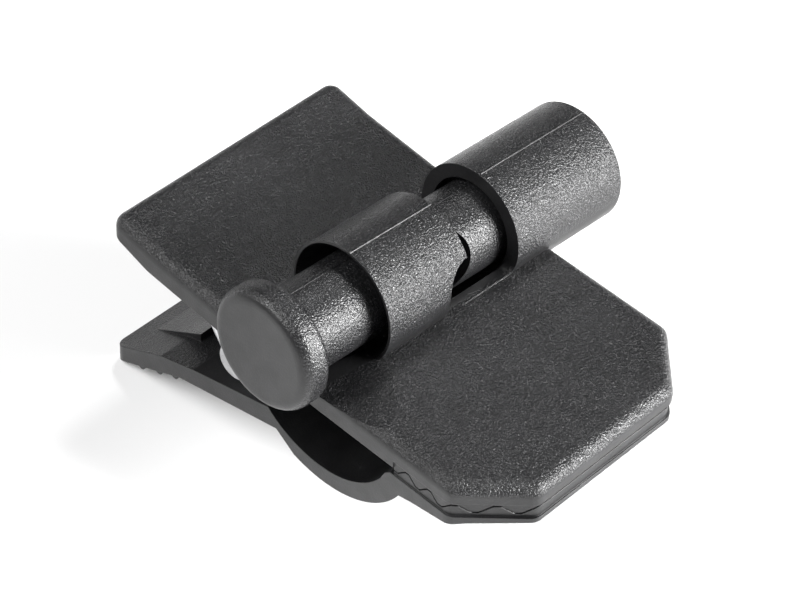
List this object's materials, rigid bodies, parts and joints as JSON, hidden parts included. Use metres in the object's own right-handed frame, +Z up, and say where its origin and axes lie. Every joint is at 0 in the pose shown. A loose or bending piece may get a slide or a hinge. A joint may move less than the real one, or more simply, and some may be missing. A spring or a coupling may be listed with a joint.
{
  "type": "spring clamp",
  "caption": "Black moulded spring clamp with a toothed flat mouth, a round trough for a tube, and a headed cross peg carried in a split barrel on the upper jaw.",
  "frame": {"origin": "middle of the jaw width on the closed clamping plane, straight below the peg axis", "axes": "+X towards the jaw tips, +Y across the clamp towards the closed end of the barrel (the peg head is on the -Y side), +Z up, square to the flat top of the upper jaw"},
  "size_m": [0.0584, 0.0498, 0.0325],
  "materials": {
    "upper_jaw_plastic": "fine pebbled mould grain, satin on the side walls",
    "lower_jaw_plastic": "fine pebbled mould grain, satin on the side walls",
    "peg_plastic": "fine mould grain with a smooth satin head face",
    "pin_steel": "drawn bright steel",
    "spring_steel": "drawn spring wire"
  },
  "bodies": {
    "upper": {"upper_jaw": "upper_jaw_plastic", "hinge_pin": "pin_steel", "torsion_spring": "spring_steel"},
    "lower": {"lower_jaw": "lower_jaw_plastic"},
    "peg": {"cross_peg": "peg_plastic"}
  },
  "joints": [
    {"name": "jaw_hinge", "type": "hinge", "parent": "upper", "child": "lower", "pos_m": [-0.0088, 0, -0.0033], "axis": [0, 1, 0], "range_deg": [0, 40], "stiffness_Nm_per_rad": 0.2, "springref_deg": -34.38, "deforming": ["torsion_spring"]},
    {"name": "peg_slide", "type": "slide", "parent": "upper", "child": "peg", "axis": [0, -0.9976, 0.0698], "range_m": [0, 0.022]}
  ]
}
